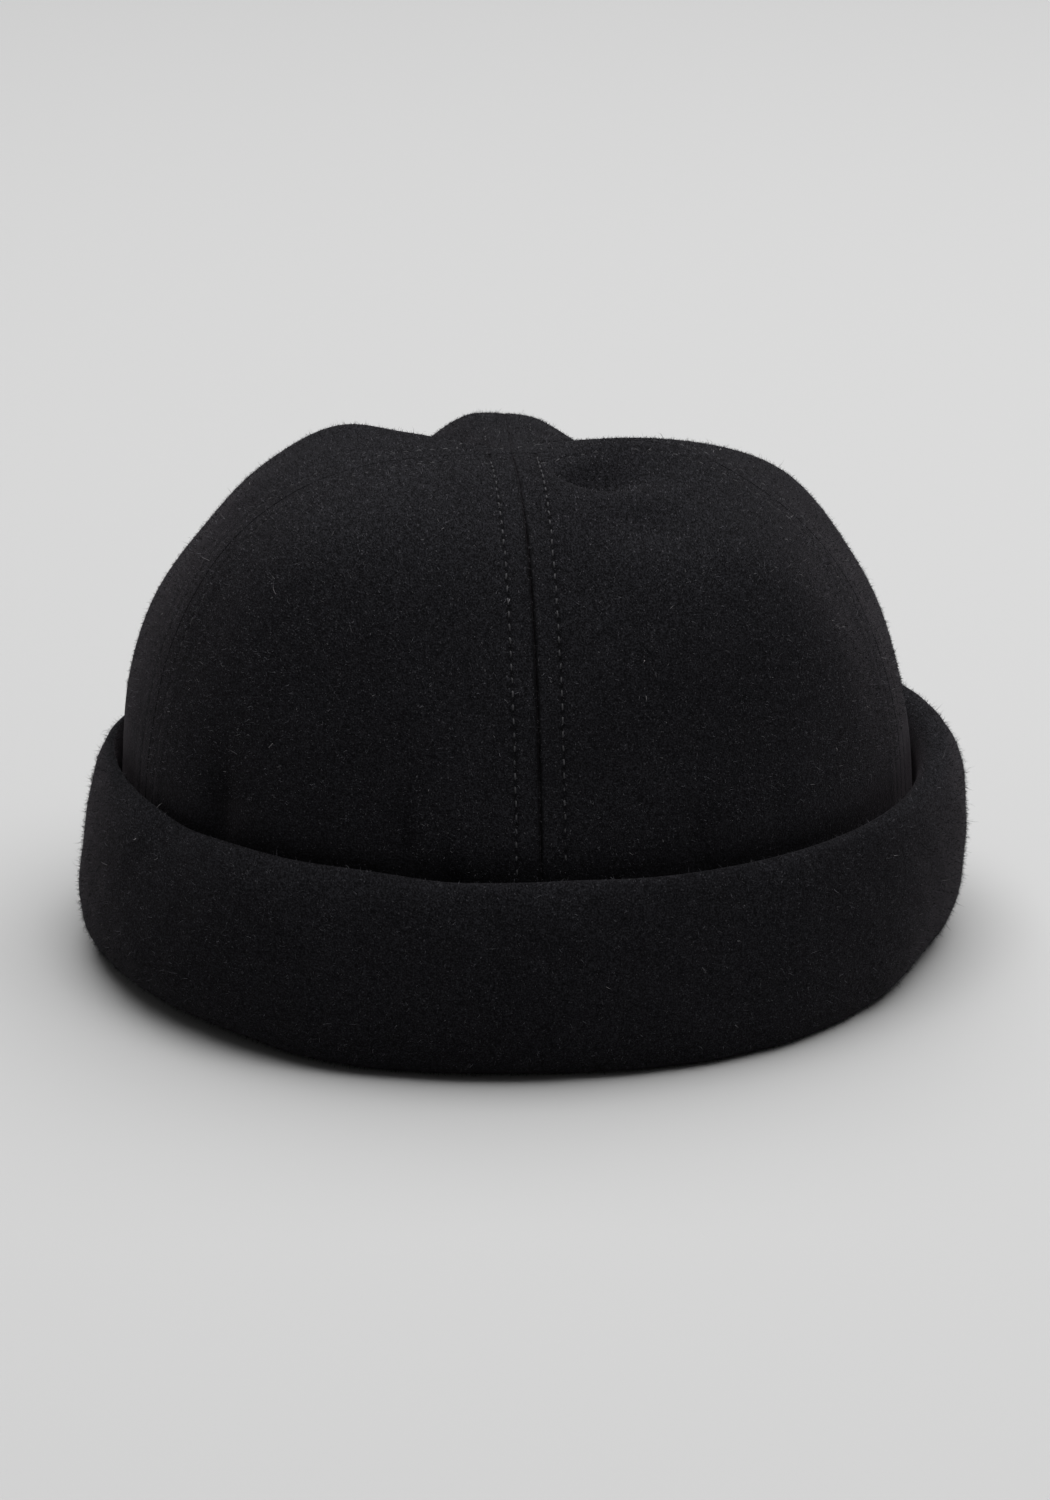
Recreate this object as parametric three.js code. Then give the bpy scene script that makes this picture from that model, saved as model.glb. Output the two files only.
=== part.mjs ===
// A four-panel felt watch cap with its padded cuff turned up, standing on the cuff.
// Millimetres, +Z up. The front seam faces -Y and the cuff's underside lies on Z = 0.
// A turn goes round the cap in degrees: 0 at the front seam, 90 at the seam on the +X side.
import * as THREE from "three";
import { mergeVertices } from "three/addons/utils/BufferGeometryUtils.js";

// Plan of the crown's outer face at its rim: an egg, wider behind the middle and a little squared.
const rimHalfWidth = 93.4;
const rimHalfDepth = 93.9;
const rimEgg = 0.115;
const rimSquaring = 0.012;

// The side seams come down in front of the widest place, by this turn.
const sideSeamForward = 14.2;

// Crown: height of its rim, of the foot of its curve, which the felt leaves straight down to the rim,
// and of the point where the four seams meet, and that point's place.
const rimHeight = 3.6;
const curveFoot = 8;
const crownHeight = 121.8;
const apexX = -2.9;
const apexY = -20.6;

// Squareness of the crown's profile: 2 is an ellipse and more is boxier.
const frontSeamSquareness = 2.4;
const sideSeamSquareness = 3.04;
const backSeamSquareness = 2.13;
const frontPanelExtra = 0.6;
const backPanelExtra = 0.57;

// Felt wall, doubled where the seam allowances are pressed open on the inside.
const feltThickness = 2.5;
const allowanceThickness = 2.1;
const allowanceWidth = 8.5;
const allowanceEdge = 3;
const seamGap = 0.3;

// Soft forms of the crown: turn and along give the middle, along running 0 at the rim to 1 at the top.
const crownForms = [
  { name: "back ridge, right half", turn: 175, along: 0.63, turnSpread: 9.6, alongSpread: 0.16, lift: 9.7 },
  { name: "back ridge, left half", turn: -172.7, along: 0.614, turnSpread: 8, alongSpread: 0.163, lift: 8.7 },
  { name: "back right valley", turn: 149.5, along: 0.755, turnSpread: 19.9, alongSpread: 0.13, lift: -9.2 },
  { name: "back left valley", turn: -154.4, along: 0.845, turnSpread: 12.9, alongSpread: 0.16, lift: -6.4 },
  { name: "back left shoulder", turn: -142, along: 0.805, turnSpread: 13, alongSpread: 0.11, lift: 2.9 },
  { name: "back left hollow", turn: -120, along: 0.49, turnSpread: 23, alongSpread: 0.2, lift: -4.6 },
  { name: "right seam ridge", turn: 88.5, along: 0.86, turnSpread: 20, alongSpread: 0.15, lift: 3.6 },
  { name: "right back hollow", turn: 112.5, along: 0.44, turnSpread: 23, alongSpread: 0.2, lift: -3.5 },
  { name: "front right shoulder", turn: 53.5, along: 0.47, turnSpread: 29, alongSpread: 0.25, lift: 3.6 },
  { name: "front left shoulder", turn: -50, along: 0.52, turnSpread: 29, alongSpread: 0.25, lift: 0.9 },
  { name: "front right dent", turn: 49, along: 0.89, turnSpread: 12, alongSpread: 0.07, lift: -4 },
  { name: "front right crease", turn: 42, along: 0.905, turnSpread: 6, alongSpread: 0.055, lift: -2 },
];

// Cuff: offsets are measured outwards from the crown's rim plan.
const cuffHeight = 46.3;
const cuffBulge = 11.1;
const upperSquareness = 2.35;
const lowerSquareness = 2.6;
const crestOffset = 3.5;
const soleOffset = 1;
const cuffInnerOffset = 0.6;
const foldDepth = 7;
const footReach = 3.9;
const footHeight = 3.2;

// The cuff sits a little to the +X side, and its bulge is fullest at the front left and back right.
const cuffSideways = 1.1;
const bulgeSkew = 3;

// The cuff leans: its bulge moves in or out with height, and its crest is not level.
const bulgeLean = -1;
const bulgeLeanSide = 1.9;
const bulgeLeanFront = 0.4;
const crestOutSide = 1;
const crestRiseSide = 0.2;
const crestRiseFront = -1;

// Facets.
const panelColumns = 18;
const crownRows = 17;
const rowSpacingPower = 1.12;
const cuffSteps = 76;
const bulgeSteps = 14;
const foldSteps = 5;
const toeSteps = 4;
const weldDistance = 1e-4;

const radians = THREE.MathUtils.degToRad;
const mix = THREE.MathUtils.lerp;

// A point of the rim plan, moved outwards by an offset, for a turn measured on that plan.
function planPoint(planTurn, offset) {
  const side = Math.sin(planTurn);
  const front = Math.cos(planTurn);
  const squaring = 1 - rimSquaring * Math.cos(4 * planTurn);
  const x = (rimHalfWidth + offset) * side * (1 - rimEgg * front);
  const y = -(rimHalfDepth + offset) * front;
  return new THREE.Vector2(x, y).multiplyScalar(squaring);
}

// The plan turn of a meridian of the crown, whose side seams sit forward.
function meridianPlanTurn(turn) {
  return turn - radians(sideSeamForward) * Math.sin(turn);
}

function crownSquareness(turn) {
  const front = (1 + Math.cos(turn)) / 2;
  const back = 1 - front;
  const midPanel = (1 - Math.cos(4 * turn)) / 2;
  const sideWeight = 4 * front * back;
  const onSeams = mix(mix(backSeamSquareness, frontSeamSquareness, front), sideSeamSquareness, sideWeight);
  return onSeams + midPanel * mix(backPanelExtra, frontPanelExtra, front);
}

function formLift(turn, along) {
  let lift = 0;
  for (const form of crownForms) {
    const away = turn - radians(form.turn);
    const turnAway = Math.atan2(Math.sin(away), Math.cos(away)) / radians(form.turnSpread);
    const alongAway = (along - form.along) / form.alongSpread;
    lift += form.lift * Math.exp(-turnAway * turnAway - alongAway * alongAway);
  }
  return lift;
}

// Distance from the line through the apex, and height, of a crown meridian without its soft forms.
function meridianProfile(turn, along, reach) {
  const power = 2 / crownSquareness(turn);
  const angle = (along * Math.PI) / 2;
  const out = reach * Math.max(Math.cos(angle), 0) ** power;
  const up = mix(curveFoot, crownHeight, Math.sin(angle) ** power);
  return new THREE.Vector2(out, up);
}

// The outward normal of a meridian within its own upright plane.
function meridianNormal(turn, along, reach) {
  const step = 0.004;
  const lower = meridianProfile(turn, Math.max(along - step, 0), reach);
  const upper = meridianProfile(turn, Math.min(along + step, 1), reach);
  const tangent = upper.sub(lower).normalize();
  return new THREE.Vector2(tangent.y, -tangent.x);
}

// A crown point: depth is measured inwards from the outer face.
function crownPoint(turn, along, depth) {
  const rim = planPoint(meridianPlanTurn(turn), 0);
  const apex = new THREE.Vector2(apexX, apexY);
  const spoke = rim.clone().sub(apex);
  const reach = spoke.length();
  const direction = spoke.divideScalar(reach);
  const atTop = along === 1;
  const normal = atTop ? new THREE.Vector2(0, 1) : meridianNormal(turn, along, reach);
  const lift = atTop ? 0 : formLift(turn, along);
  const profile = meridianProfile(turn, along, reach).addScaledVector(normal, lift - depth);
  const height = along === 0 ? rimHeight : profile.y;
  return new THREE.Vector3(apex.x + direction.x * profile.x, apex.y + direction.y * profile.x, height);
}

// Wall thickness at a distance from the nearest seam.
function wallThickness(seamDistance) {
  const allowanceEnd = allowanceWidth + allowanceEdge;
  const single = THREE.MathUtils.smoothstep(seamDistance, allowanceWidth, allowanceEnd);
  return feltThickness + allowanceThickness * (1 - single);
}

// Builds one closed body from points and triangles, dropping triangles that have collapsed.
function closedBody(points, triangles) {
  const coordinates = points.flatMap((point) => [point.x, point.y, point.z]);
  const loose = new THREE.BufferGeometry();
  loose.setAttribute("position", new THREE.Float32BufferAttribute(coordinates, 3));
  loose.setIndex(triangles.flat());
  const geometry = mergeVertices(loose, weldDistance);
  const welded = geometry.getIndex().array;
  const kept = [];
  for (let i = 0; i < welded.length; i += 3) {
    const [a, b, c] = [welded[i], welded[i + 1], welded[i + 2]];
    if (a !== b && b !== c && c !== a) {
      kept.push(a, b, c);
    }
  }
  geometry.setIndex(kept);
  geometry.computeVertexNormals();
  return geometry;
}

// Joins neighbouring loops of equal length with two triangles for each step.
function joinLoops(loops, closeEnds) {
  const count = loops[0].length;
  const triangles = [];
  const lastLoop = closeEnds ? loops.length : loops.length - 1;
  for (let row = 0; row < lastLoop; row++) {
    const next = (row + 1) % loops.length;
    for (let step = 0; step < count; step++) {
      const after = (step + 1) % count;
      const a = row * count + step;
      const b = row * count + after;
      const c = next * count + after;
      const d = next * count + step;
      triangles.push([a, b, c], [a, c, d]);
    }
  }
  return triangles;
}

// One crown panel: each loop runs along the outer face from seam to seam and back along the inner face.
function crownPanel(startTurn) {
  const endTurn = startTurn + Math.PI / 2;
  const loops = [];
  for (let row = 0; row <= crownRows; row++) {
    const along = row === crownRows ? 1 : (row / crownRows) ** rowSpacingPower;
    const outer = [];
    const inner = [];
    for (let column = 0; column <= panelColumns; column++) {
      const turn = mix(startTurn, endTurn, column / panelColumns);
      const face = crownPoint(turn, along, 0);
      const fromApex = Math.hypot(face.x - apexX, face.y - apexY);
      const seamAngle = Math.min(turn - startTurn, endTurn - turn);
      const thickness = wallThickness(fromApex * Math.sin(seamAngle));
      outer.push(face);
      inner.unshift(crownPoint(turn, along, thickness));
    }
    loops.push([...outer, ...inner]);
  }
  const triangles = joinLoops(loops, false);
  const last = 2 * panelColumns + 1;
  for (let column = 0; column < panelColumns; column++) {
    triangles.push([column, last - column, column + 1]);
    triangles.push([column + 1, last - column, last - column - 1]);
  }
  return closedBody(loops.flat(), triangles);
}

// Half the seam gap, taken off both seam faces of a panel by moving it away from the apex.
function panelShift(startTurn) {
  const apex = new THREE.Vector2(apexX, apexY);
  const [first, second] = [startTurn, startTurn + Math.PI / 2].map((turn) =>
    planPoint(meridianPlanTurn(turn), 0).sub(apex).normalize()
  );
  const reach = seamGap / 2 / Math.abs(first.cross(second));
  return first.add(second).multiplyScalar(reach);
}

// Section of the cuff at a plan turn, as offset and height, anticlockwise from the outer edge of its sole.
function cuffSection(planTurn) {
  const side = Math.sin(planTurn);
  const front = Math.cos(planTurn);
  const sideways = cuffSideways * side;
  const sole = soleOffset + sideways;
  const crest = crestOffset + crestOutSide * side + sideways;
  const bulge = cuffBulge - bulgeSkew * Math.sin(2 * planTurn) + sideways;
  const height = cuffHeight + crestRiseSide * side + crestRiseFront * front;
  const lean = bulgeLean + bulgeLeanSide * side + bulgeLeanFront * front;
  const section = [];
  for (let step = 0; step <= bulgeSteps; step++) {
    const angle = mix(-Math.PI / 2, Math.PI / 2, step / bulgeSteps);
    const power = 2 / (angle < 0 ? lowerSquareness : upperSquareness);
    const rise = Math.sign(angle) * Math.abs(Math.sin(angle)) ** power;
    const swell = Math.max(Math.cos(angle), 0) ** power;
    const spine = mix(sole, crest, (1 + rise) / 2);
    section.push([mix(spine, bulge + lean * rise, swell), (height * (1 + rise)) / 2]);
  }
  for (let step = 1; step <= foldSteps; step++) {
    const angle = ((step / foldSteps) * Math.PI) / 2;
    section.push([mix(crest, cuffInnerOffset, Math.sin(angle)), height - foldDepth * (1 - Math.cos(angle))]);
  }
  section.push([cuffInnerOffset, footHeight]);
  const toeRadius = footHeight / 2;
  for (let step = 0; step <= toeSteps; step++) {
    const angle = Math.PI / 2 + (step / toeSteps) * Math.PI;
    section.push([toeRadius * Math.cos(angle) - footReach, toeRadius * (1 + Math.sin(angle))]);
  }
  return section;
}

function cuffRing() {
  const loops = [];
  for (let step = 0; step < cuffSteps; step++) {
    const planTurn = (-step / cuffSteps) * 2 * Math.PI;
    const loop = cuffSection(planTurn).map(([offset, height]) => {
      const place = planPoint(planTurn, offset);
      return new THREE.Vector3(place.x, place.y, height);
    });
    loops.push(loop);
  }
  return closedBody(loops.flat(), joinLoops(loops, true));
}

const crownFelt = new THREE.MeshStandardMaterial({ color: 0x17171a, roughness: 0.95, metalness: 0 });
const cuffFelt = new THREE.MeshStandardMaterial({ color: 0x161618, roughness: 0.97, metalness: 0 });

const panels = [
  { name: "crown_panel_front_right", startTurn: 0 },
  { name: "crown_panel_back_right", startTurn: 90 },
  { name: "crown_panel_back_left", startTurn: 180 },
  { name: "crown_panel_front_left", startTurn: 270 },
];

const cap = new THREE.Group();
for (const { name, startTurn } of panels) {
  const panel = new THREE.Mesh(crownPanel(radians(startTurn)), crownFelt);
  const shift = panelShift(radians(startTurn));
  panel.name = name;
  panel.position.set(shift.x, shift.y, 0);
  cap.add(panel);
}

const cuff = new THREE.Mesh(cuffRing(), cuffFelt);
cuff.name = "cuff";
cap.add(cuff);

// Centres the cap's plan on the Z axis.
const middle = new THREE.Box3().setFromObject(cap).getCenter(new THREE.Vector3());
cap.position.set(-middle.x, -middle.y, 0);

export default cap;
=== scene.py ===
import math
import bmesh
import bpy
import numpy as np
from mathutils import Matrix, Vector


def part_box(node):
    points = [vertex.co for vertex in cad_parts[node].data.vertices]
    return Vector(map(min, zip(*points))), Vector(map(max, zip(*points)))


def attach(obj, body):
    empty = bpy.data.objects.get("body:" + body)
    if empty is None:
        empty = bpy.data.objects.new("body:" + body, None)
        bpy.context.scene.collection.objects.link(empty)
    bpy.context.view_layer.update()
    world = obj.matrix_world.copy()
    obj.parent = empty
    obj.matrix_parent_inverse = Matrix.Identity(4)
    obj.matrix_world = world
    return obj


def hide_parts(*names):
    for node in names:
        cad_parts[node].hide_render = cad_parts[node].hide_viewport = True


# A black felt watch cap on a pale floor: four sewn crown panels inside a thick turned-up cuff.
# Metres, +Z up, the front seam towards -Y. A turn goes round the cap from the front seam, 0 to 2 pi,
# over the +X side, and along runs up the crown from 0 at its rim to 1 where the four seams meet.

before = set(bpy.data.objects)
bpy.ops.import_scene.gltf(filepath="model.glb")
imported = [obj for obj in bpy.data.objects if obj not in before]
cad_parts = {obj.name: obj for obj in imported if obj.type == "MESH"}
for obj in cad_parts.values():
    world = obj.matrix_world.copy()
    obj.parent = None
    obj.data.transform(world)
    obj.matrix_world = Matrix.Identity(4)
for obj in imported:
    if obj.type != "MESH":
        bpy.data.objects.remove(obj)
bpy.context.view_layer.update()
scene = bpy.context.scene
scene.view_settings.view_transform = "Standard"
print("frame loaded")


# Camera, at the photograph's angle.
view = {
    "aim": (-0.0003, 0.0, 0.04625),
    "turn": math.radians(-3.1),
    "rise": math.radians(16.5),
    "distance": 1.4,
    "frameHeight": 1500,      # pixels of the photograph
    "focalLength": 6022,      # in the same pixels
    "sensor": 36,
}


def addCamera():
    data = bpy.data.cameras.new("camera")
    data.sensor_fit = "VERTICAL"
    data.sensor_height = view["sensor"]
    data.lens = view["sensor"] * view["focalLength"] / view["frameHeight"]
    camera = bpy.data.objects.new("camera", data)
    scene.collection.objects.link(camera)
    level = math.cos(view["rise"])
    ahead = Vector((
        -math.sin(view["turn"]) * level,
        math.cos(view["turn"]) * level,
        -math.sin(view["rise"]),
    ))
    camera.location = Vector(view["aim"]) - ahead * view["distance"]
    camera.rotation_mode = "QUATERNION"
    camera.rotation_quaternion = ahead.to_track_quat("-Z", "Y")
    scene.camera = camera


addCamera()
print("camera placed")


# One output of a material's nodes. Sums and products of values add Math nodes.
class Socket:
    def __init__(self, shader, output):
        self.shader = shader
        self.output = output

    def math(self, operation, first, second):
        return self.shader.add("Math", {"operation": operation}, {0: first, 1: second})

    def __add__(self, other):
        return self.math("ADD", self, other)

    def __radd__(self, other):
        return self.math("ADD", other, self)

    def __sub__(self, other):
        return self.math("SUBTRACT", self, other)

    def __rsub__(self, other):
        return self.math("SUBTRACT", other, self)

    def __mul__(self, other):
        return self.math("MULTIPLY", self, other)

    def __rmul__(self, other):
        return self.math("MULTIPLY", other, self)


class Shader:
    def __init__(self, name):
        self.material = bpy.data.materials.new(name)
        self.material.use_nodes = True
        self.tree = self.material.node_tree
        self.tree.nodes.clear()

    # Adds a node: its settings are set first, then its sockets take values or links.
    def add(self, kind, settings, values, output=0):
        made = self.tree.nodes.new("ShaderNode" + kind)
        for name, setting in settings.items():
            setattr(made, name, setting)
        for key, value in values.items():
            if isinstance(value, Socket):
                self.tree.links.new(value.output, made.inputs[key])
            else:
                made.inputs[key].default_value = value
        return Socket(self, made.outputs[output])

    def noise(self, place, size, detail=2, roughness=0.5):
        values = {"Vector": place, "Scale": 1 / size, "Detail": detail, "Roughness": roughness}
        return self.add("TexNoise", {}, values)

    # Rises smoothly from 0 to 1 as value goes from low to high.
    def step(self, value, low, high):
        settings = {"interpolation_type": "SMOOTHSTEP"}
        return self.add("MapRange", settings, {"Value": value, "From Min": low, "From Max": high})

    def mixColour(self, factor, first, second):
        return self.add("Mix", {"data_type": "RGBA"}, {0: factor, 6: first, 7: second}, 2)

    def finish(self, surface):
        last = self.tree.nodes.new("ShaderNodeOutputMaterial")
        self.tree.links.new(surface.output, last.inputs["Surface"])
        return self.material


felt = {
    "dark": (0.0010, 0.0010, 0.0012, 1),
    "light": (0.0199, 0.0198, 0.0230, 1),
    "speck": (0.120, 0.116, 0.127, 1),
    "lightness": {"crown": 0.9, "cuff": 0.84},
    "speckling": {"crown": 0.35, "cuff": 0.28},      # how strongly the lightest fibre ends show
    "roughness": 0.95,
    "specular": 0.05,
    "sheen": 0.038,
    "sheenRoughness": 0.32,
    "sheenTint": (1.0, 0.85, 0.97, 1),
    "brushed": (1, 0.4, 1),    # the nap is brushed from front to back, so its grain is longer that way
    "cloud": {"size": 0.03, "darkest": 0.7, "gain": 0.5},
    "tuft": {"size": 0.0011, "low": 0.3, "high": 0.7, "darkest": 0.75, "gain": 0.4, "height": 0.6},
    "grain": {"size": 0.00036, "low": 0.38, "high": 0.66, "darkest": 0.2, "gain": 0.8, "height": 0.8},
    "speckSpacing": 0.0009,
    "speckEdge": (0.1, 0.22),
    "speckedTufts": (0.44, 0.56),      # fibre ends that catch the light lie in loose groups
    "speckHeight": 0.3,
    "bumpStrength": 0.9,
    "bumpDepth": 0.0003,
    # how strongly the painted shade of the crease attribute darkens the felt
    "paintedShadeStrength": 0.85,
}


# The felt of one part of the cap, crown or cuff. Shade painted into its creases, read from the mesh's
# crease attribute, darkens its colour.
def feltMaterial(part):
    shader = Shader(part + "_felt")
    cloudy, tufty, grainy = felt["cloud"], felt["tuft"], felt["grain"]
    place = shader.add("TexCoord", {}, {}, "Object")
    place = shader.add("VectorMath", {"operation": "MULTIPLY"}, {0: place, 1: felt["brushed"]})
    cloud = shader.noise(place, cloudy["size"])
    tuft = shader.noise(place, tufty["size"], roughness=0.6)
    grain = shader.noise(place, grainy["size"], roughness=0.6)
    nearest = shader.add("TexVoronoi", {}, {"Vector": place, "Scale": 1 / felt["speckSpacing"]})
    specks = (1 - shader.step(nearest, *felt["speckEdge"])) * shader.step(tuft, *felt["speckedTufts"])
    grained = grainy["darkest"] + grainy["gain"] * shader.step(grain, grainy["low"], grainy["high"])
    tufted = tufty["darkest"] + tufty["gain"] * shader.step(tuft, tufty["low"], tufty["high"])
    shade = grained * tufted * (cloudy["darkest"] + cloudy["gain"] * cloud)
    # Painted shade: the crease attribute darkens the colour in seam grooves, stitch holes, gathers and
    # above the cuff.
    crease = shader.add("Attribute", {"attribute_name": "crease"}, {}, "Fac")
    lit = 1 - crease * felt["paintedShadeStrength"]
    colour = shader.mixColour(shade * felt["lightness"][part] * lit, felt["dark"], felt["light"])
    colour = shader.mixColour(specks * felt["speckling"][part] * lit, colour, felt["speck"])
    height = grain * grainy["height"] + tuft * tufty["height"] + specks * felt["speckHeight"]
    bump = shader.add("Bump", {}, {
        "Strength": felt["bumpStrength"],
        "Distance": felt["bumpDepth"],
        "Height": height,
    })
    surface = shader.add("BsdfPrincipled", {}, {
        "Base Color": colour,
        "Roughness": felt["roughness"],
        "Specular IOR Level": felt["specular"],
        "Sheen Weight": felt["sheen"],
        "Sheen Roughness": felt["sheenRoughness"],
        "Sheen Tint": felt["sheenTint"],
        "Normal": bump,
    })
    return shader.finish(surface)


# Nap fibres, from the darkest tone to the lightest. A few are pale.
fibre = {
    "nap": ((0.0006, 0.0006, 0.0007, 1), (0.212, 0.208, 0.232, 1)),
    "pale": ((0.09, 0.087, 0.093, 1), (0.30, 0.29, 0.30, 1)),
}


def fibreMaterial(kind):
    shader = Shader(kind + "_fibre")
    dark, light = fibre[kind]
    tone = shader.add("Attribute", {"attribute_name": "tone"}, {}, "Fac")
    colour = shader.mixColour(tone, dark, light)
    surface = shader.add("BsdfPrincipled", {}, {
        "Base Color": colour,
        "Roughness": felt["roughness"],
        "Specular IOR Level": felt["specular"],
    })
    return shader.finish(surface)


thread = {
    "dark": (0.008, 0.008, 0.0088, 1),
    "colour": (0.068, 0.067, 0.072, 1),
    "twist": 0.0011,
    "roughness": 0.6,
    "specular": 0.2,
    "bumpStrength": 0.5,
    "bumpDepth": 0.0001,
}


def threadMaterial():
    shader = Shader("topstitch_thread")
    place = shader.add("TexCoord", {}, {}, "Object")
    ply = shader.noise(place, thread["twist"], detail=1)
    colour = shader.mixColour(ply, thread["dark"], thread["colour"])
    bump = shader.add("Bump", {}, {
        "Strength": thread["bumpStrength"],
        "Distance": thread["bumpDepth"],
        "Height": ply,
    })
    surface = shader.add("BsdfPrincipled", {}, {
        "Base Color": colour,
        "Roughness": thread["roughness"],
        "Specular IOR Level": thread["specular"],
        "Normal": bump,
    })
    return shader.finish(surface)


crownFelt = feltMaterial("crown")
cuffFelt = feltMaterial("cuff")
napFibre = fibreMaterial("nap")
paleFibre = fibreMaterial("pale")
threadFinish = threadMaterial()
print("materials made")


# Adds a piece of the cap. finishes is a list of materials, and finishOf gives each face's place in it.
def addPiece(name, points, faces, finishes, finishOf=None):
    mesh = bpy.data.meshes.new(name)
    mesh.from_pydata(np.asarray(points).tolist(), [], faces)
    for finish in finishes:
        mesh.materials.append(finish)
    mesh.polygons.foreach_set("use_smooth", [True] * len(mesh.polygons))
    if finishOf is not None:
        mesh.polygons.foreach_set("material_index", finishOf)
    piece = bpy.data.objects.new(name, mesh)
    scene.collection.objects.link(piece)
    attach(piece, "root")
    return piece


# Writes one number for each of a piece's points, for its material to read.
def paint(piece, name, values):
    attribute = piece.data.attributes.new(name, "FLOAT", "POINT")
    attribute.data.foreach_set("value", values.tolist())


def turnFacesOut(piece):
    shell = bmesh.new()
    shell.from_mesh(piece.data)
    bmesh.ops.recalc_face_normals(shell, faces=shell.faces)
    shell.to_mesh(piece.data)
    shell.free()


def smooth(value):
    inside = np.clip(value, 0, 1)
    return inside * inside * (3 - 2 * inside)


def bell(distance, width):
    return np.exp(-(distance / width) ** 2)


def unit(vectors):
    return vectors / np.linalg.norm(vectors, axis=-1, keepdims=True)


# Numbers from 0 to 1, closest together at both ends.
def eased(count):
    return (1 - np.cos(np.linspace(0, 1, count) * math.pi)) / 2


# How far along a line of points each of them lies.
def lengthAlong(points):
    return np.concatenate([[0], np.cumsum(np.linalg.norm(np.diff(points, axis=0), axis=1))])


# How far a turn is from a middle given in degrees, the short way round.
def turnAway(turn, middle):
    away = turn - math.radians(middle)
    return np.arctan2(np.sin(away), np.cos(away))


# A soft unevenness between about -1 and 1, from waves in chance directions about size long.
def unevenness(points, size, seed):
    chance = np.random.default_rng(seed)
    total = np.zeros(points.shape[:-1])
    waves, shortest, longest = 14, 0.8, 1.5
    for _ in range(waves):
        direction = chance.normal(size=3)
        direction *= 2 * math.pi / (size * np.linalg.norm(direction) * chance.uniform(shortest, longest))
        total += np.sin(points @ direction + chance.uniform(0, 2 * math.pi))
    return total / math.sqrt(waves)


# Crown. Squareness is 2 for an ellipse and more for a boxier profile.
crown = {
    "rimHalfWidth": 0.0934,
    "rimHalfDepth": 0.0939,
    "rimEgg": 0.115,            # the rim's plan is narrower in front and wider behind by this share
    "rimSquaring": 0.012,
    "sideSeamForward": math.radians(14.2),      # the side seams meet the rim this far forward
    "rimHeight": 0.0036,
    "curveFoot": 0.008,         # the felt hangs straight down from here to the rim
    "height": 0.1222,
    "apex": np.array([-0.0029, -0.0206]),       # where the four seams meet, in plan
    "frontSeamSquareness": 2.4,
    "sideSeamSquareness": 3.04,
    "backSeamSquareness": 2.13,
    "frontPanelExtra": 0.6,
    "backPanelExtra": 0.57,
    "feltThickness": 0.0025,
    "allowanceThickness": 0.0021,
    "allowanceWidth": 0.0085,
    "allowanceEdge": 0.003,
    "seamGap": 0.0001,
    "calmTip": 0.08,            # share of the way up over which the soft forms fade at the top
    "rowSpacing": 0.0007,
    "middleColumns": 62,
    "fullColumnsFrom": 0.028,   # nearer the apex than this the columns close up
    "innerRows": 40,
    "innerColumns": 34,
    "innerCrowding": 0.06,      # brings the inner columns closer together beside the seams
    "lengthSteps": 900,
    "turnSteps": 360,
    "unevenness": 0.00022,
    "unevennessSize": 0.028,
    "unevennessSeed": 3,
    "tuckHeight": 0.042,        # painted shade darkens the felt from here down, where the cuff presses on the crown and its crest shades it
    "tuckFade": 0.012,
    "tuckShade": 0.6,
}

# Soft forms of the crown, as hands and storage left them. Each line gives the middle as a turn in
# degrees and a share of the way up, how far the form spreads each way, and how far it lifts the felt.
crownForms = {
    "ridge, right half": (175, 0.63, 9.6, 0.16, 0.0097),
    "ridge, left half": (-172.7, 0.614, 8, 0.163, 0.0087),
    "right valley": (149.5, 0.755, 19.9, 0.13, -0.0092),
    "left valley": (-154.4, 0.845, 12.9, 0.16, -0.0064),
    "left shoulder": (-142, 0.805, 13, 0.11, 0.0037),
    "back left hollow": (-120, 0.49, 23, 0.2, -0.0046),
    "right seam ridge": (88.5, 0.86, 20, 0.15, 0.0036),
    "right back hollow": (112.5, 0.44, 23, 0.2, -0.0035),
    "front right shoulder": (53.5, 0.47, 29, 0.25, 0.0036),
    "front left shoulder": (-50, 0.52, 29, 0.25, 0.0009),
    "front right dent": (50, 0.9, 13, 0.06, -0.0042),
    "front right crease": (42, 0.93, 8, 0.032, -0.0018),
    "front right fold": (45, 0.81, 10, 0.05, 0.0007),
    "hollow below the fold": (41, 0.7, 15, 0.08, -0.0024),
}

# Small gathers where the cuff holds the crown's foot, in the same terms. Each also gets painted shade,
# darker for a deeper one.
gathers = {
    "left": (-67, 0.13, 4.2, 0.065, -0.0019),
    "front left": (-28, 0.16, 2.6, 0.05, -0.0012),
    "front left, at its foot": (-19, 0.12, 2.6, 0.045, -0.0014),
    "front right": (33, 0.13, 2.8, 0.06, -0.001),
    "right": (50, 0.13, 3.2, 0.05, -0.0006),
}
gatherShade = 320            # painted shade for each metre of depth


# A point of the rim plan, moved outwards by an offset, for a turn measured on that plan.
def planPoint(planTurn, offset):
    side, front = np.sin(planTurn), np.cos(planTurn)
    squaring = 1 - crown["rimSquaring"] * np.cos(4 * planTurn)
    x = (crown["rimHalfWidth"] + offset) * side * (1 - crown["rimEgg"] * front)
    y = -(crown["rimHalfDepth"] + offset) * front
    return np.stack([x * squaring, y * squaring], axis=-1)


# The spoke of a meridian: its direction in plan from the apex, and its reach to the rim.
def meridianSpoke(turn):
    planTurn = turn - crown["sideSeamForward"] * np.sin(turn)
    spoke = planPoint(planTurn, 0) - crown["apex"]
    reach = np.linalg.norm(spoke, axis=-1)
    return spoke / reach[..., None], reach


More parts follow.
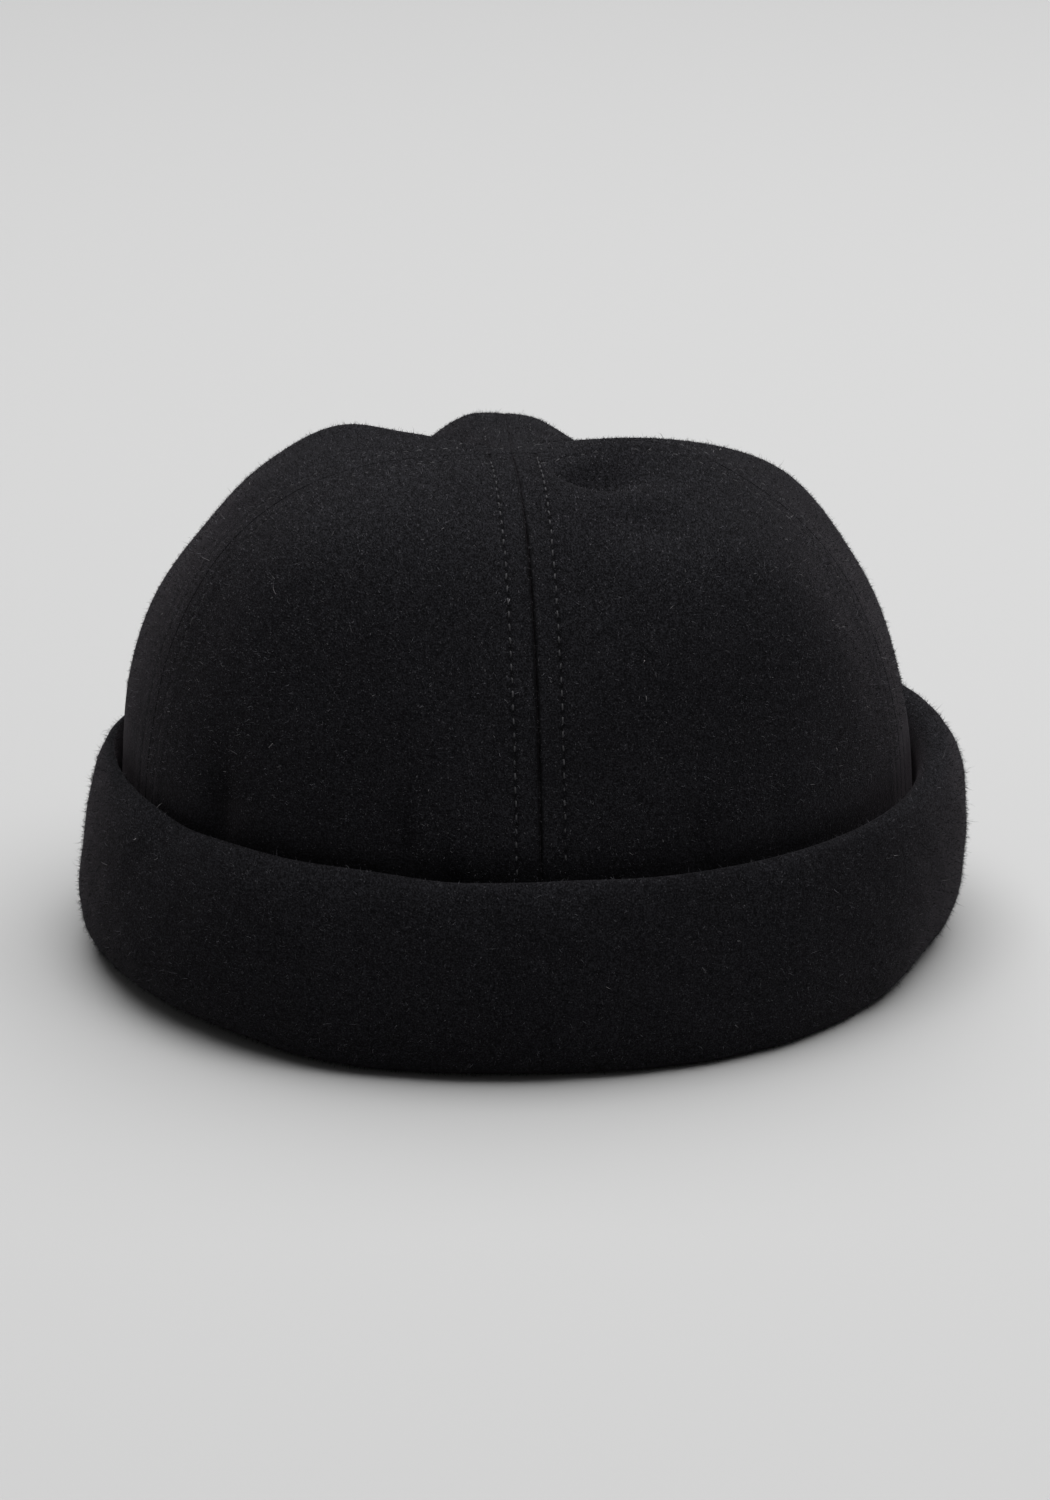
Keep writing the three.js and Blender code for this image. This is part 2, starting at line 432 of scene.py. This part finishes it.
def crownSquareness(turn):
    front = (1 + np.cos(turn)) / 2
    back = 1 - front
    midPanel = (1 - np.cos(4 * turn)) / 2
    sideWeight = 4 * front * back
    onSeams = crown["backSeamSquareness"] * back + crown["frontSeamSquareness"] * front
    onSeams = onSeams + (crown["sideSeamSquareness"] - onSeams) * sideWeight
    return onSeams + midPanel * (crown["backPanelExtra"] * back + crown["frontPanelExtra"] * front)


# How near a point of the crown is to the middle of a form, from 0 to 1.
def formShare(form, turn, along):
    middleTurn, middleAlong, turnSpread, alongSpread, _ = form
    across = bell(turnAway(turn, middleTurn), math.radians(turnSpread))
    return across * bell(along - middleAlong, alongSpread)


def formLift(turn, along):
    lift = np.zeros(np.broadcast(turn, along).shape)
    for form in list(crownForms.values()) + list(gathers.values()):
        lift = lift + form[-1] * formShare(form, turn, along)
    return lift * smooth((1 - along) / crown["calmTip"])


# Distance from the line through the apex, and height, of a meridian without its soft forms.
def meridianProfile(turn, along, reach):
    power = 2 / crownSquareness(turn)
    angle = along * math.pi / 2
    out = reach * np.maximum(np.cos(angle), 0) ** power
    up = crown["curveFoot"] + (crown["height"] - crown["curveFoot"]) * np.sin(angle) ** power
    return out, up


# Points of the crown, depth below its outer face.
def crownPoint(turn, along, depth=0):
    slopeStep = 0.004
    direction, reach = meridianSpoke(turn)
    out, up = meridianProfile(turn, along, reach)
    lowerOut, lowerUp = meridianProfile(turn, np.maximum(along - slopeStep, 0), reach)
    upperOut, upperUp = meridianProfile(turn, np.minimum(along + slopeStep, 1), reach)
    length = np.hypot(upperOut - lowerOut, upperUp - lowerUp)
    lift = formLift(turn, along) - depth
    out = out + lift * (upperUp - lowerUp) / length
    up = up + lift * (lowerOut - upperOut) / length
    up = np.where(along > 0, up, crown["rimHeight"])
    plan = crown["apex"] + direction * out[..., None]
    return np.concatenate([plan, up[..., None]], axis=-1)


def crownNormal(turn, along):
    acrossStep, upStep = 0.01, 0.003
    across = crownPoint(turn + acrossStep, along) - crownPoint(turn - acrossStep, along)
    above, below = np.minimum(along + upStep, 1), np.maximum(along - upStep, 0)
    return unit(np.cross(across, crownPoint(turn, above) - crownPoint(turn, below)))


# Distance in plan from the upright plane through the apex and a seam.
def seamDistance(points, seamTurn):
    direction, _ = meridianSpoke(np.array(seamTurn))
    away = points[..., :2] - crown["apex"]
    return np.abs(away[..., 0] * direction[1] - away[..., 1] * direction[0])


# Seams: the felt rolls down into each seam, and a row of topstitching runs on each side of it through
# the allowances, which are pressed open underneath and lift the felt a little.
seam = {
    "rollRadius": 0.0006,      # at the front seam; a seam's own share follows in seamLines
    "stitchOffset": 0.0053,    # from the seam to its rows of stitches
    "bandRise": 0.00015,
    "bandEdge": 0.0092,
    "bandFade": 0.003,
    "bandFoot": 0.035,         # the band starts to rise at this height, inside the cuff
    "bandFootFade": 0.01,
    "valleyDepth": 0.00016,
    "valleyWidth": 0.0008,
    "holeDeepening": 0.45,
    "grooveShade": 0.0011,     # distance from the seam over which shade is painted into the groove
    "holeShade": 0.0005,
    "holeDarkness": 0.9,
    "closing": (0.7, 0.84),    # the groove closes between these shares of the way up
    "closedShare": 0.4,        # of its depth and shade, left above them
    "pitch": 0.003,            # from one stitch to the next
    "stitchLength": 0.0017,
    "threadRadius": 0.00021,
    "threadSink": 0.00022,
    "footSink": 0.0003,        # stitches near the cuff lie deeper, from footHeight down
    "footHeight": 0.095,
    "threadArch": 1.7,         # height of a stitch's arch from end to middle, in thread radii
    "threadDive": 0.9,         # how deep its ends lie, in the same
    "threadRoundness": 0.7,
    "slant": 0.00007,
    "drift": 0.00005,
    "sides": 6,
    "threadSteps": 6,
    "rowSteps": 700,
    "turnSteps": 180,
    "seed": 21,
}


# A topstitch row: its turn and its length from the rim, at fine steps up the crown.
def stitchRow(seamTurn, sign):
    along = eased(seam["rowSteps"])[1:-1]
    turns = seamTurn + sign * np.linspace(0, math.pi / 2, seam["turnSteps"] + 1)
    alongGrid, turnGrid = np.meshgrid(along, turns, indexing="ij")
    distance = seamDistance(crownPoint(turnGrid, alongGrid), seamTurn)
    offset = seam["stitchOffset"]
    reached = distance.max(axis=1) > offset
    rowTurn = np.array([np.interp(offset, line, turns * sign) * sign for line in distance[reached]])
    rowAlong = along[reached]
    return {"turn": rowTurn, "along": rowAlong, "length": lengthAlong(crownPoint(rowTurn, rowAlong))}


# The felt near one seam: groove, raised band and stitched valley as depths and heights on the plain
# panel, and the shade painted into its groove and stitch holes. The thread's holes lie between the
# stitches.
def seamRelief(distance, along, row, line):
    radius = seam["rollRadius"] * line["roll"]
    inside = np.clip(radius - distance, 0, radius)
    low, high = seam["closing"]
    openness = 1 - (1 - seam["closedShare"]) * smooth((along - low) / (high - low))
    groove = (radius - np.sqrt(radius ** 2 - inside ** 2)) * openness
    band = seam["bandRise"] * (1 - smooth((distance - seam["bandEdge"]) / seam["bandFade"] + 0.5))
    phase = 2 * math.pi * np.interp(along, row["along"], row["length"]) / seam["pitch"]
    holes = 1 + seam["holeDeepening"] * np.cos(phase)
    valley = seam["valleyDepth"] * holes * bell(distance - seam["stitchOffset"], seam["valleyWidth"])
    # Painted shade in the stitch holes and the groove, scaled by the seam's own shade share.
    holeShade = seam["holeDarkness"] * bell(distance - seam["stitchOffset"], seam["holeShade"])
    holeShade = holeShade * (1 + np.cos(phase)) / 2
    grooveShade = (1 - smooth(distance / seam["grooveShade"])) * openness
    crease = np.maximum(grooveShade, holeShade) * line["shade"]
    return groove, band, valley * line["valley"], crease


# The outer face of a panel between two seams, with its seam relief and soft unevenness, the plain
# normals, and the shade painted at each point in seam grooves, stitch holes, gathers and above the cuff.
def panelFace(panel, turn, along):
    points = crownPoint(turn, along)
    height = points[..., 2]
    normal = crownNormal(turn, along)
    reliefs = []
    for seamTurn, row, line in zip(panel["seams"], panel["rows"], panel["lines"]):
        reliefs.append(seamRelief(seamDistance(points, seamTurn), along, row, line))
    groove, band, valley, crease = [np.maximum(first, second) for first, second in zip(*reliefs)]
    # Painted shade along the crown's foot, in the shadow of the cuff's crest.
    paintedTuckShade = crown["tuckShade"] * (1 - smooth((height - crown["tuckHeight"]) / crown["tuckFade"]))
    crease = np.maximum(crease, paintedTuckShade)
    # Painted shade in the gathers, darker where they sink deeper.
    for form in gathers.values():
        crease = np.maximum(crease, -form[-1] * gatherShade * formShare(form, turn, along))
    band = band * smooth((height - seam["bandFoot"]) / seam["bandFootFade"])
    uneven = unevenness(points, crown["unevennessSize"], crown["unevennessSeed"])
    rise = band - groove - valley + crown["unevenness"] * uneven
    return points + normal * rise[..., None], normal, crease


# Rows evenly spaced up the panel's middle.
def panelAlong(panel):
    fine = eased(crown["lengthSteps"])
    length = lengthAlong(crownPoint(np.full(fine.shape, sum(panel["seams"]) / 2), fine))
    count = int(length[-1] / crown["rowSpacing"])
    return np.interp(np.linspace(0, length[-1], count + 1)[:-1], length, fine)


# Columns that follow the seams at fixed distances in mm, closest in the groove and at the stitching.
grooveColumns = [0, 0.15, 0.3, 0.5, 0.75, 1.0, 1.3, 1.7, 2.3, 3.0, 3.7]
stitchColumns = [4.3, 4.7, 5.05, 5.35, 5.7, 6.1, 6.7]
bandColumns = [7.5, 8.4, 9.3, 10.4, 11.6]
seamColumns = np.array(grooveColumns + stitchColumns + bandColumns) * 0.001


def panelGrid(panel):
    first, last = panel["seams"]
    turns = np.linspace(first, last, crown["turnSteps"] + 1)
    half = len(turns) // 2 + 1
    rows = []
    for along in panelAlong(panel):
        points = crownPoint(turns, np.full(turns.shape, along))
        fromApex = np.linalg.norm(points[half, :2] - crown["apex"])
        targets = seamColumns * min(1, fromApex / crown["fullColumnsFrom"])
        nearFirst = np.interp(targets, seamDistance(points[:half], first), turns[:half])
        nearLast = np.interp(targets, seamDistance(points[half - 1:], last)[::-1], turns[half - 1:][::-1])
        middle = np.linspace(nearFirst[-1], nearLast[-1], crown["middleColumns"] + 2)[1:-1]
        rows.append((np.concatenate([nearFirst, middle, nearLast[::-1]]), along))
    turn = np.array([row for row, _ in rows])
    along = np.array([[value] * turn.shape[1] for _, value in rows])
    return turn, along


def wallThickness(distance):
    single = smooth((distance - crown["allowanceWidth"]) / crown["allowanceEdge"])
    return crown["feltThickness"] + crown["allowanceThickness"] * (1 - single)


def panelInside(panel):
    first, last = panel["seams"]
    rows = eased(crown["innerRows"] + 1)[:-1]
    share = np.linspace(0, 1, crown["innerColumns"] + 1)
    share = share - crown["innerCrowding"] * np.sin(2 * math.pi * share)
    along, turn = np.meshgrid(rows, first + (last - first) * share, indexing="ij")
    face = crownPoint(turn, along)
    distance = np.minimum(seamDistance(face, first), seamDistance(face, last))
    return crownPoint(turn, along, wallThickness(distance))


# Faces between two lines of points that run side by side.
def zipLines(first, second):
    faces = []
    i, j = 0, 0
    firstSteps, secondSteps = len(first) - 1, len(second) - 1
    while i < firstSteps or j < secondSteps:
        if j == secondSteps or (i < firstSteps and (i + 1) * secondSteps <= (j + 1) * firstSteps):
            faces.append((first[i], first[i + 1], second[j]))
            i += 1
        else:
            faces.append((first[i], second[j + 1], second[j]))
            j += 1
    return faces


def gridNumbers(grid, first):
    rows, columns = grid.shape[:2]
    return first + np.arange(rows * columns).reshape(rows, columns)


def gridFaces(numbers):
    corners = [numbers[:-1, :-1], numbers[:-1, 1:], numbers[1:, 1:], numbers[1:, :-1]]
    return np.stack([corner.ravel() for corner in corners], axis=1).tolist()


# Half the seam gap, taken off both seam faces of a panel by moving it away from the apex.
def panelShift(panel):
    first, second = [meridianSpoke(np.array(turn))[0] for turn in panel["seams"]]
    reach = crown["seamGap"] / 2 / abs(first[0] * second[1] - first[1] * second[0])
    shift = (first + second) * reach
    return np.array([shift[0], shift[1], 0])


def buildPanel(panel):
    turn, along = panelGrid(panel)
    outer, _, crease = panelFace(panel, turn, along)
    inner = panelInside(panel)
    tip = crownPoint(np.array([panel["seams"][0]]), np.array([1.0]))[0]
    outerTip = tip - np.array([0, 0, seam["rollRadius"]])
    innerTip = tip - np.array([0, 0, crown["feltThickness"] + crown["allowanceThickness"]])
    points = np.concatenate([outer.reshape(-1, 3), inner.reshape(-1, 3), [outerTip, innerTip]])
    points = points + panelShift(panel) + capShift
    outerNumbers = gridNumbers(outer, 0)
    innerNumbers = gridNumbers(inner, outerNumbers.size)
    outerTipNumber, innerTipNumber = len(points) - 2, len(points) - 1
    faces = gridFaces(outerNumbers) + gridFaces(innerNumbers)
    faces += [(a, b, outerTipNumber) for a, b in zip(outerNumbers[-1, :-1], outerNumbers[-1, 1:])]
    faces += [(a, b, innerTipNumber) for a, b in zip(innerNumbers[-1, :-1], innerNumbers[-1, 1:])]
    faces += zipLines(list(outerNumbers[0]), list(innerNumbers[0]))
    for column in (0, -1):
        outerEdge = list(outerNumbers[:, column]) + [outerTipNumber]
        innerEdge = list(innerNumbers[:, column]) + [innerTipNumber]
        faces += zipLines(outerEdge, innerEdge)
    faces = [tuple(int(corner) for corner in face) for face in faces]
    piece = addPiece("crown_" + panel["name"], points, faces, [crownFelt])
    turnFacesOut(piece)
    shaded = np.zeros(len(points))
    shaded[:crease.size] = crease.ravel()
    paint(piece, "crease", shaded)
    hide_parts("crown_panel_" + panel["name"])
    return outer + panelShift(panel) + capShift


# Cuff: offsets are measured outwards from the crown's rim plan.
cuff = {
    "height": 0.0455,          # without the nap on the crest
    "bulge": 0.0111,           # the outer face where it is fullest
    "upperSquareness": 2.35,
    "lowerSquareness": 2.6,
    "crestOffset": 0.0035,
    "soleOffset": 0.001,
    "innerOffset": 0.0006,
    "foldDepth": 0.007,        # from the crest down to the straight inner wall
    "footReach": 0.0039,       # how far the inward turn at the foot reaches under the crown
    "footHeight": 0.0032,
    "sideways": 0.0011,        # the whole cuff sits this far towards +X
    "bulgeSkew": 0.003,        # fuller at the front left and the back right
    "bulgeLean": -0.001,       # outwards with height; the next two change it at the sides and front
    "bulgeLeanSide": 0.0019,
    "bulgeLeanFront": 0.0004,
    "crestOutSide": 0.001,
    "crestRiseSide": 0.0002,
    "crestRiseFront": -0.001,
    "rings": 440,
    "bulgeSteps": 56,
    "foldSteps": 12,
    "wallSteps": 14,
    "toeSteps": 8,
    "waves": 0.0004,
    "waveSize": 0.045,
    "waveSeed": 11,
    "dimples": 0.00012,
    "dimpleSize": 0.011,
    "dimpleSeed": 12,
    "calmSole": 0.2,           # shares of the outer face over which the waves and dimples fade
    "calmCrest": 0.1,
}

# Small waves of the crest.
crestWaves = [
    {"planTurn": 125, "spread": 22, "rise": 0.0018},
    {"planTurn": -59, "spread": 7, "rise": -0.0008},
    {"planTurn": -27, "spread": 8, "rise": 0.0006},
    {"planTurn": -14, "spread": 5, "rise": -0.0003},
    {"planTurn": 5, "spread": 8, "rise": 0.0005},
]

# Where the cuff's lower half rolls under further: the sole goes inwards and the roll is less square.
underRolls = [
    {"planTurn": -60, "spread": 26, "sole": -0.004, "squareness": -0.55},
    {"planTurn": -2, "spread": 16, "sole": -0.002, "squareness": -0.25},
    {"planTurn": 70, "spread": 16, "sole": -0.0035, "squareness": -0.45},
]


# Sum of one measure of the waves at each plan turn.
def sumWaves(waves, measure, planTurn):
    total = np.zeros(planTurn.shape)
    for wave in waves:
        away = turnAway(planTurn, wave["planTurn"])
        total += wave[measure] * bell(away, math.radians(wave["spread"]))
    return total


# Section of the cuff at each plan turn, as offset and height, from the outer edge of its sole.
def cuffSection(planTurn):
    side, front = np.sin(planTurn), np.cos(planTurn)
    sideways = cuff["sideways"] * side
    sole = cuff["soleOffset"] + sideways + sumWaves(underRolls, "sole", planTurn)
    lowerSquareness = cuff["lowerSquareness"] + sumWaves(underRolls, "squareness", planTurn)
    crest = cuff["crestOffset"] + cuff["crestOutSide"] * side + sideways
    bulge = cuff["bulge"] - cuff["bulgeSkew"] * np.sin(2 * planTurn) + sideways
    height = cuff["height"] + cuff["crestRiseSide"] * side + cuff["crestRiseFront"] * front
    height = height + sumWaves(crestWaves, "rise", planTurn)
    lean = cuff["bulgeLean"] + cuff["bulgeLeanSide"] * side + cuff["bulgeLeanFront"] * front
    offsets, heights = [], []
    for angle in np.linspace(-math.pi / 2, math.pi / 2, cuff["bulgeSteps"] + 1):
        power = 2 / (lowerSquareness if angle < 0 else cuff["upperSquareness"])
        rise = math.copysign(1, angle) * abs(math.sin(angle)) ** power
        swell = max(math.cos(angle), 0) ** power
        spine = sole + (crest - sole) * (1 + rise) / 2
        offsets.append(spine + (bulge + lean * rise - spine) * swell)
        heights.append(height * (1 + rise) / 2)
    for angle in np.linspace(0, math.pi / 2, cuff["foldSteps"] + 1)[1:]:
        offsets.append(crest + (cuff["innerOffset"] - crest) * math.sin(angle))
        heights.append(height - cuff["foldDepth"] * (1 - math.cos(angle)))
    wallTop = height - cuff["foldDepth"]
    for share in np.linspace(0, 1, cuff["wallSteps"] + 1)[1:]:
        offsets.append(np.full(planTurn.shape, cuff["innerOffset"]))
        heights.append(wallTop + (cuff["footHeight"] - wallTop) * share)
    toeRadius = cuff["footHeight"] / 2
    for angle in np.linspace(math.pi / 2, 1.5 * math.pi, cuff["toeSteps"] + 1):
        offsets.append(np.full(planTurn.shape, toeRadius * math.cos(angle) - cuff["footReach"]))
        heights.append(np.full(planTurn.shape, toeRadius * (1 + math.sin(angle))))
    return np.array(offsets).T, np.array(heights).T


def cuffPoints():
    planTurn = np.linspace(0, 2 * math.pi, cuff["rings"], endpoint=False)
    offset, height = cuffSection(planTurn)
    plan = planPoint(planTurn[:, None], offset)
    return np.concatenate([plan, height[..., None]], axis=-1)


def ringNormals(points):
    around = np.roll(points, -1, axis=0) - np.roll(points, 1, axis=0)
    section = np.roll(points, -1, axis=1) - np.roll(points, 1, axis=1)
    return unit(np.cross(around, section))


# Where the frame has the cap's plan middle: the cuff's box in the frame against the cuff drawn here.
plainCuff = cuffPoints()
frameLow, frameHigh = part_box("cuff")
capShift = np.array([
    (frameLow.x + frameHigh.x) / 2 - (plainCuff[..., 0].min() + plainCuff[..., 0].max()) / 2,
    (frameLow.y + frameHigh.y) / 2 - (plainCuff[..., 1].min() + plainCuff[..., 1].max()) / 2,
    0,
])


def buildCuff():
    outerSteps = cuff["bulgeSteps"] + 1
    outside = np.zeros(plainCuff.shape[1])
    fromSole = smooth(np.linspace(0, 1, outerSteps) / cuff["calmSole"])
    outside[:outerSteps] = fromSole * smooth(np.linspace(1, 0, outerSteps) / cuff["calmCrest"])
    waves = cuff["waves"] * unevenness(plainCuff, cuff["waveSize"], cuff["waveSeed"])
    dimples = cuff["dimples"] * unevenness(plainCuff, cuff["dimpleSize"], cuff["dimpleSeed"])
    rise = (waves + dimples) * outside
    points = plainCuff + ringNormals(plainCuff) * rise[..., None] + capShift
    closed = np.pad(gridNumbers(points, 0), ((0, 1), (0, 1)), mode="wrap")
    piece = addPiece("cuff_band", points.reshape(-1, 3), gridFaces(closed), [cuffFelt])
    turnFacesOut(piece)
    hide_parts("cuff")
    return np.concatenate([points, points[:1]])[:, :cuff["bulgeSteps"] + cuff["foldSteps"] // 2]


cuffFace = buildCuff()
print("cuff built")

# The four seams: how deep each rolls and shows, the shade painted into it, and how far its stitches sink
# in.
seamLines = [
    {"name": "front_seam", "roll": 1, "valley": 1, "shade": 1, "sunk": 0},
    {"name": "right_seam", "roll": 0.5, "valley": 0.6, "shade": 0.35, "sunk": 0.00015},
    {"name": "back_seam", "roll": 0.3, "valley": 0.4, "shade": 0.15, "sunk": 0.00022},
    {"name": "left_seam", "roll": 0.5, "valley": 0.6, "shade": 0.35, "sunk": 0.00015},
]

quarter = math.pi / 2
panels = [
    {"name": "front_right", "seams": (0, quarter), "lines": (seamLines[0], seamLines[1])},
    {"name": "back_right", "seams": (quarter, 2 * quarter), "lines": (seamLines[1], seamLines[2])},
    {"name": "back_left", "seams": (2 * quarter, 3 * quarter), "lines": (seamLines[2], seamLines[3])},
    {"name": "front_left", "seams": (3 * quarter, 4 * quarter), "lines": (seamLines[3], seamLines[0])},
]
for panel in panels:
    panel["rows"] = (stitchRow(panel["seams"][0], 1), stitchRow(panel["seams"][1], -1))
    panel["face"] = buildPanel(panel)
print("crown panels built")


# Topstitching: each stitch is a short thread that arches over the felt and dives in at both ends.
def threadTubes(line, panel, row, chance):
    count = int(row["length"][-1] / seam["pitch"]) - 1
    starts = (np.arange(count) + 0.5) * seam["pitch"] - seam["stitchLength"] / 2
    share = np.linspace(0, 1, seam["threadSteps"] + 1)
    along = np.interp(starts[:, None] + share * seam["stitchLength"], row["length"], row["along"])
    turn = np.interp(along, row["along"], row["turn"])
    face, normal, _ = panelFace(panel, turn, along)
    sideways = np.cross(unit(np.gradient(face, axis=1)), normal)
    radius = seam["threadRadius"]
    sunk = seam["threadSink"] * chance.uniform(0, 1, (count, 1)) + line["sunk"]
    sunk = sunk + seam["footSink"] * smooth(1 - face[:, :1, 2] / seam["footHeight"])
    arch = seam["threadArch"] * np.sin(math.pi * share) ** seam["threadRoundness"] - seam["threadDive"]
    lift = radius * arch - sunk
    aside = chance.normal(0, seam["slant"], (count, 1)) * (share - 0.5) * 2
    aside = aside + chance.normal(0, seam["drift"], (count, 1))
    middle = face + normal * lift[..., None] + sideways * aside[..., None]
    points = []
    for angle in np.arange(seam["sides"]) * 2 * math.pi / seam["sides"]:
        points.append(middle + radius * (math.cos(angle) * normal + math.sin(angle) * sideways))
    return np.stack(points, axis=2) + panelShift(panel) + capShift


def tubeFaces(tubes, firstNumber):
    count, steps, sides, _ = tubes.shape
    numbers = firstNumber + np.arange(count * steps * sides).reshape(count, steps, sides)
    closed = np.concatenate([numbers, numbers[..., :1]], axis=2)
    faces = []
    for tube in closed:
        faces += gridFaces(tube)
        faces.append(tuple(tube[0, :-1][::-1].tolist()))
        faces.append(tuple(tube[-1, :-1].tolist()))
    return faces


def buildStitching():
    chance = np.random.default_rng(seam["seed"])
    for number, line in enumerate(seamLines):
        points, faces, made = [], [], 0
        for panel, which in ((panels[number], 0), (panels[number - 1], 1)):
            tubes = threadTubes(line, panel, panel["rows"][which], chance)
            faces += tubeFaces(tubes, made)
            points.append(tubes.reshape(-1, 3))
            made += len(points[-1])
        name = "stitching_" + line["name"]
        piece = addPiece(name, np.concatenate(points), faces, [threadFinish])
        turnFacesOut(piece)


buildStitching()
print("topstitching sewn")


# Nap: short fibres that stand off the felt, each a narrow blade with one bend, a few of them pale.
nap = {
    "crown": {"fibres": 39000, "length": 0.0005, "lightness": 1, "paleShare": 0.008, "seed": 40},
    "cuff": {"fibres": 56000, "length": 0.0008, "lightness": 0.75, "paleShare": 0.003, "seed": 31},
    "lengthSpread": 0.45,
    "width": 0.00007,
    "bendWidth": 0.8,         # share of the width at the bend; the tip is a point
    "tilt": (0.1, 1.05),      # radians from upright, at the root
    "turnBack": (-0.5, 0.9),
    "toneFall": 3,            # most fibres are dark: the higher this is, the fewer are light
    "tuftSize": 0.0011,       # fibres stand in light and dark tufts about half this wide
    "tuftContrast": 0.7,
    "tuftSeed": 50,
    "rootDepth": 0.0001,
    "paleWidth": 0.00011,
    "paleLength": 1.7,
    "floorClearance": 0.0002,
    "lowest": 0.040,          # no nap is grown on the crown below this height, inside the cuff
}


# Chance roots spread evenly over a face, which is a grid of points, and the felt's normal at each.
def napRoots(face, count, chance):
    corners = [face[:-1, :-1], face[:-1, 1:], face[1:, 1:], face[1:, :-1]]
    diagonal = np.cross(corners[2] - corners[0], corners[3] - corners[1])
    area = np.linalg.norm(diagonal, axis=-1)
    normals = (diagonal / area[..., None]).reshape(-1, 3)
    middle = face.reshape(-1, 3).mean(axis=0)
    outwards = np.sign(((corners[0].reshape(-1, 3) - middle) * normals).sum(axis=1).mean())
    cells = chance.choice(area.size, size=count, p=(area / area.sum()).ravel())
    across, up = chance.uniform(size=(2, count, 1))
    a, b, c, d = [corner.reshape(-1, 3)[cells] for corner in corners]
    root = (a * (1 - across) + b * across) * (1 - up) + (d * (1 - across) + c * across) * up
    return root, normals[cells] * outwards


def growNap(name, face, kind, seed):
    chance = np.random.default_rng(seed)
    count = kind["fibres"]
    root, normal = napRoots(face, count, chance)
    lean = chance.normal(size=(count, 3))
    lean = unit(lean - normal * (lean * normal).sum(axis=1, keepdims=True))
    pale = chance.uniform(size=count) < kind["paleShare"]
    reach = kind["length"] * chance.lognormal(0, nap["lengthSpread"], (count, 1))
    reach = reach * np.where(pale, nap["paleLength"], 1)[:, None]
    tilt = chance.uniform(*nap["tilt"], (count, 1))
    turnBack = chance.uniform(*nap["turnBack"], (count, 1))
    first = normal * np.cos(tilt) + lean * np.sin(tilt)
    second = normal * np.cos(tilt + turnBack) + lean * np.sin(tilt + turnBack)
    sideways = unit(np.cross(first, chance.normal(size=(count, 3))))
    half = np.where(pale, nap["paleWidth"], nap["width"])[:, None] / 2 * sideways
    tufted = unevenness(root * felt["brushed"], nap["tuftSize"], seed + nap["tuftSeed"])
    tuft = smooth(0.5 + nap["tuftContrast"] * tufted)
    root = root - normal * nap["rootDepth"]
    bend = root + first * reach / 2
    tip = bend + second * reach / 2
    for end in (bend, tip):
        end[:, 2] = np.maximum(end[:, 2], nap["floorClearance"])
    halfBend = half * nap["bendWidth"]
    blades = np.stack([root - half, root + half, bend + halfBend, bend - halfBend, tip], axis=1)
    corners = blades.shape[1]
    firstCorner = np.arange(count)[:, None] * corners
    faces = (firstCorner + np.array([0, 1, 2, 3])).tolist() + (firstCorner + np.array([3, 2, 4])).tolist()
    finishOf = np.concatenate([pale, pale]).astype(int).tolist()
    piece = addPiece(name, blades.reshape(-1, 3), faces, [napFibre, paleFibre], finishOf)
    tone = chance.uniform(size=count) ** nap["toneFall"] * np.where(pale, 1, tuft * kind["lightness"])
    paint(piece, "tone", np.repeat(tone, corners))


growNap("cuff_nap", cuffFace, nap["cuff"], nap["cuff"]["seed"])
for number, panel in enumerate(panels):
    shown = panel["face"][(panel["face"][..., 2] > nap["lowest"]).all(axis=1)]
    growNap("nap_" + panel["name"], shown, nap["crown"], nap["crown"]["seed"] + number)
print("nap grown")


# Studio: a plain pale floor under soft light.
studio = {
    "floorHalfSize": 6,
    "floorColour": (0.45, 0.45, 0.45, 1),
    "floorRoughness": 0.9,
    "surround": 0.13,
    "highAim": 0.05,
    "lights": {               # place, size and power; the overhead light faces straight down
        "overhead": ((0.36, 0.6, 2.2), (3.0, 3.6), 112.5),
        "front_right": ((1.0, -1.0, 2.2), (1.4, 1.2), 7),
        "right_side": ((1.9, 0.6, 1.0), (1.2, 1.6), 0.9),
    },
}


def buildStudio():
    shader = Shader("floor")
    surface = shader.add("BsdfPrincipled", {}, {
        "Base Color": studio["floorColour"],
        "Roughness": studio["floorRoughness"],
    })
    half = studio["floorHalfSize"]
    mesh = bpy.data.meshes.new("floor")
    corners = [(-half, -half, 0), (half, -half, 0), (half, half, 0), (-half, half, 0)]
    mesh.from_pydata(corners, [], [(0, 1, 2, 3)])
    mesh.materials.append(shader.finish(surface))
    floor = bpy.data.objects.new("floor", mesh)
    scene.collection.objects.link(floor)
    world = bpy.data.worlds.new("surround")
    world.use_nodes = True
    background = world.node_tree.nodes["Background"]
    background.inputs["Color"].default_value = (1, 1, 1, 1)
    background.inputs["Strength"].default_value = studio["surround"]
    scene.world = world
    for name, (place, size, power) in studio["lights"].items():
        data = bpy.data.lights.new(name, "AREA")
        data.shape = "RECTANGLE"
        data.size, data.size_y = size
        data.energy = power
        lamp = bpy.data.objects.new(name, data)
        scene.collection.objects.link(lamp)
        lamp.location = place
        lamp.rotation_mode = "QUATERNION"
        if name != "overhead":
            towards = Vector((0, 0, studio["highAim"])) - lamp.location
            lamp.rotation_quaternion = towards.to_track_quat("-Z", "Y")


buildStudio()
print("studio lit")
